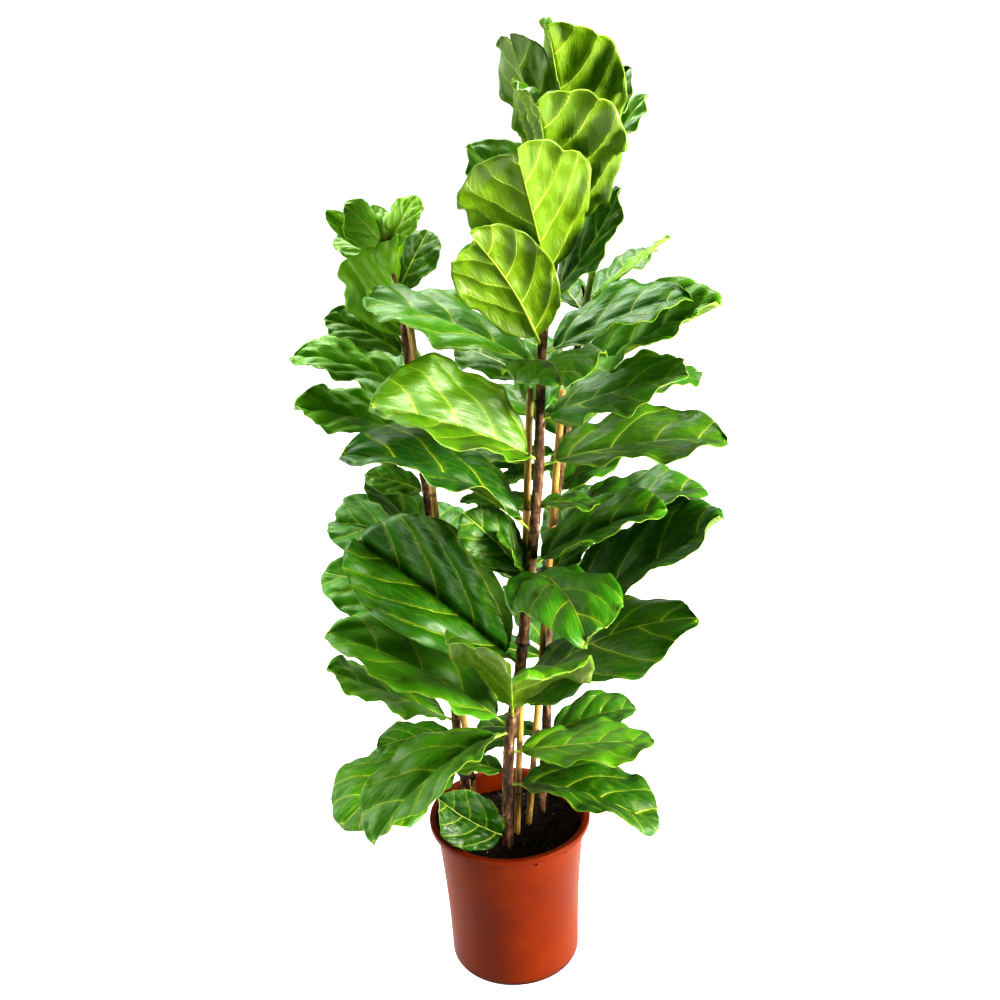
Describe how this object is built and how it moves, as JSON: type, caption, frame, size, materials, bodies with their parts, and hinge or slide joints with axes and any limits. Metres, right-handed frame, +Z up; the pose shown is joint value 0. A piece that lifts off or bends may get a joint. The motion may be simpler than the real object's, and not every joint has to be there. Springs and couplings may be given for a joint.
{
  "type": "potted fiddle leaf fig",
  "caption": "Tall fiddle leaf fig with upright leafy stems tied to bamboo canes, in soil in a plain flared nursery pot.",
  "frame": {"origin": "centre of the pot's flat underside", "axes": "+Z up along the stems, front of the plant towards -Y, +X to the right seen from the front"},
  "size_m": [0.647, 0.6558, 1.5113],
  "materials": {
    "pot_plastic": "satin terracotta-coloured plastic",
    "potting_mix": "rough dark crumbs",
    "foliage": "leathery green leaves on brown bark",
    "bamboo": "straw-coloured bamboo",
    "tie_wire": "black plastic-coated wire"
  },
  "bodies": {
    "root": {"pot": "pot_plastic", "soil": "potting_mix", "leafy_stem_front": "foliage", "leafy_stem_left": "foliage", "leafy_stem_right": "foliage", "cane_front": "bamboo", "cane_left": "bamboo", "cane_right": "bamboo", "tie_front_upper": "tie_wire", "tie_front_lower": "tie_wire", "tie_left_upper": "tie_wire", "tie_left_lower": "tie_wire"}
  },
  "joints": []
}
